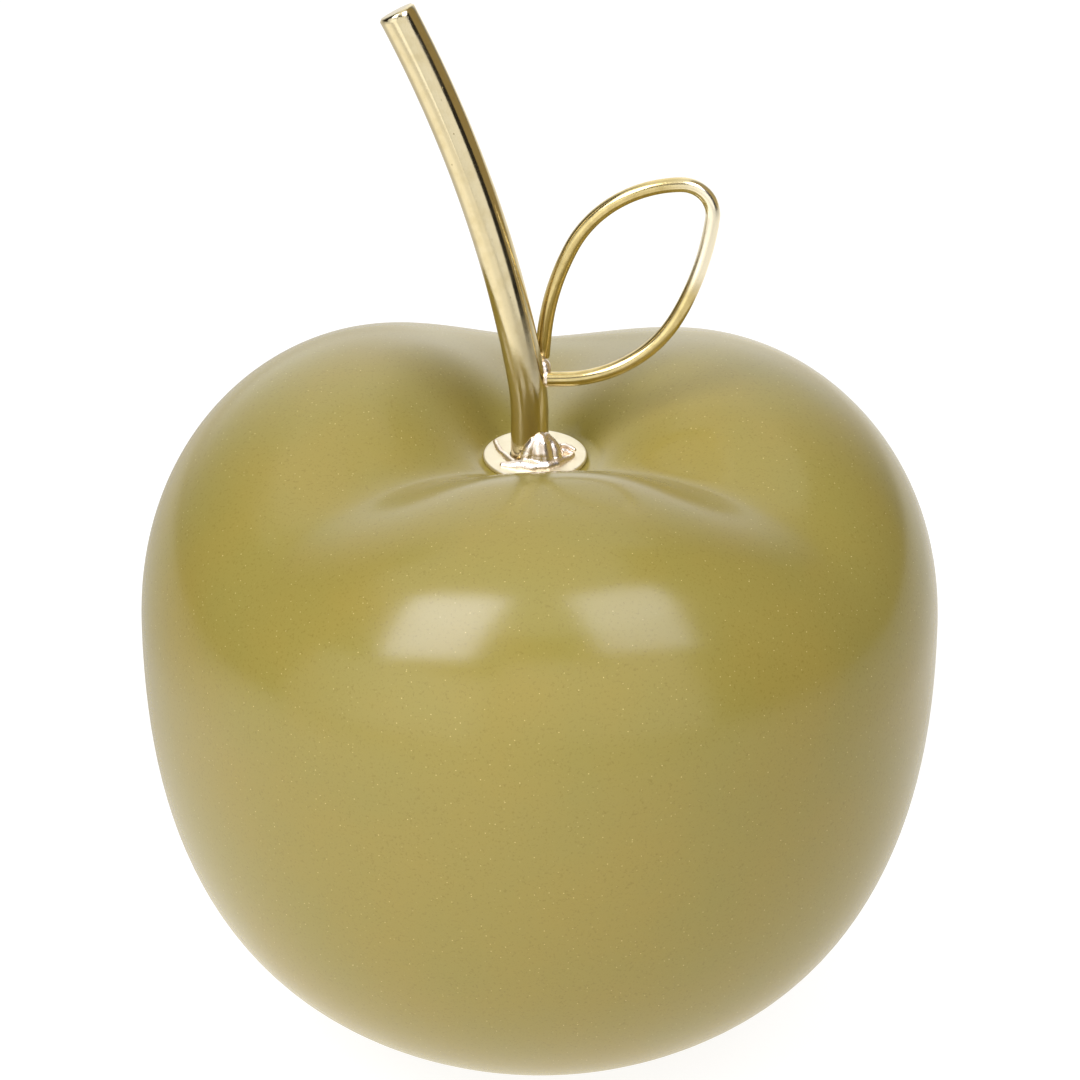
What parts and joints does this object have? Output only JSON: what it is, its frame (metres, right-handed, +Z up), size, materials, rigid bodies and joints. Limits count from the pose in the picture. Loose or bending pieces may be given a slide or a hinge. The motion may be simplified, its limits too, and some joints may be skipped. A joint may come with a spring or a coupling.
{
  "type": "decorative apple",
  "caption": "Hollow glazed ceramic apple with softly grooved shoulders, a gilded bent stem on a disc and an open leaf of bent wire, standing free as an ornament.",
  "frame": {"origin": "middle of the underside, on the surface that the felt pads stand on, straight below the fruit's centre line", "axes": "+Z up along the fruit's centre line, -Y towards the viewer of the picture, +X towards the side that the wire leaf points to"},
  "size_m": [0.106, 0.106, 0.1442],
  "materials": {
    "glazed_body": "semi-gloss olive glaze with fine gold specks",
    "pad_felt": "dark wool felt",
    "epoxy_putty": "set two-part putty, matt",
    "gilded_disc": "pale gold plating, flat and satin",
    "gilded_stem": "pale gold plating over polished rod",
    "gilded_weld": "pale gold plating over lumpy weld",
    "gilded_wire": "gold plating over drawn wire"
  },
  "bodies": {
    "root": {"apple_shell": "glazed_body", "foot_pads": "pad_felt", "anchor_putty": "epoxy_putty", "stem_disc": "gilded_disc", "stem_rod": "gilded_stem", "foot_weld": "gilded_weld", "leaf_wire": "gilded_wire", "leaf_braze": "gilded_weld"}
  },
  "joints": []
}
